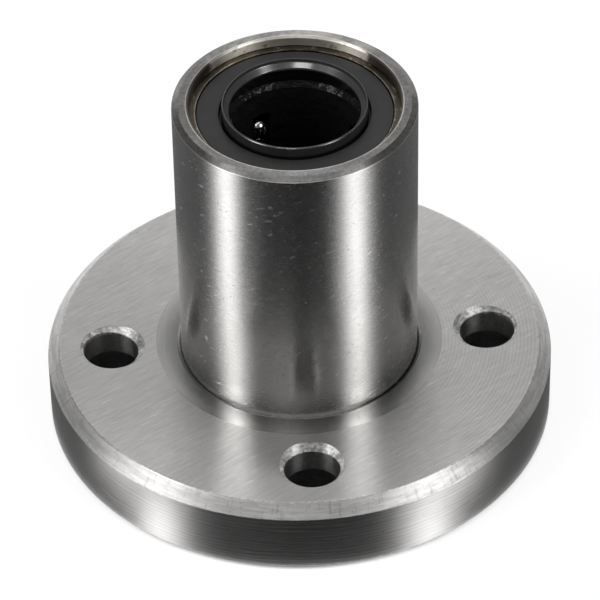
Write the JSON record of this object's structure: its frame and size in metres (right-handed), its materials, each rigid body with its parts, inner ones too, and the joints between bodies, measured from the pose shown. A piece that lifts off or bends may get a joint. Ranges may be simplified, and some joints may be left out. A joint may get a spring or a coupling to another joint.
{
  "type": "flanged linear bearing",
  "caption": "Flanged linear ball bearing: a cylindrical steel sleeve with a round bolt-on flange, a cage of recirculating balls and a lip seal at each end, guiding a round shaft.",
  "frame": {"origin": "centre of the bore on the flange's end face", "axes": "+Z along the bore axis towards the free end of the barrel, bolt holes on the X and Y axes"},
  "size_m": [0.032, 0.032, 0.024],
  "materials": {
    "sleeve_steel": "ground barrel, turned flange",
    "cage_resin": "matte moulded",
    "seal_rubber": "satin moulded",
    "ring_steel": "oiled spring steel",
    "ball_steel": "polished"
  },
  "bodies": {
    "root": {"flanged_sleeve": "sleeve_steel", "ball_cage": "cage_resin", "end_seal_bottom": "seal_rubber", "end_seal_top": "seal_rubber", "retaining_ring_bottom": "ring_steel", "retaining_ring_top": "ring_steel", "ball_circuit_1": "ball_steel", "ball_circuit_2": "ball_steel", "ball_circuit_3": "ball_steel", "ball_circuit_4": "ball_steel"}
  },
  "joints": []
}
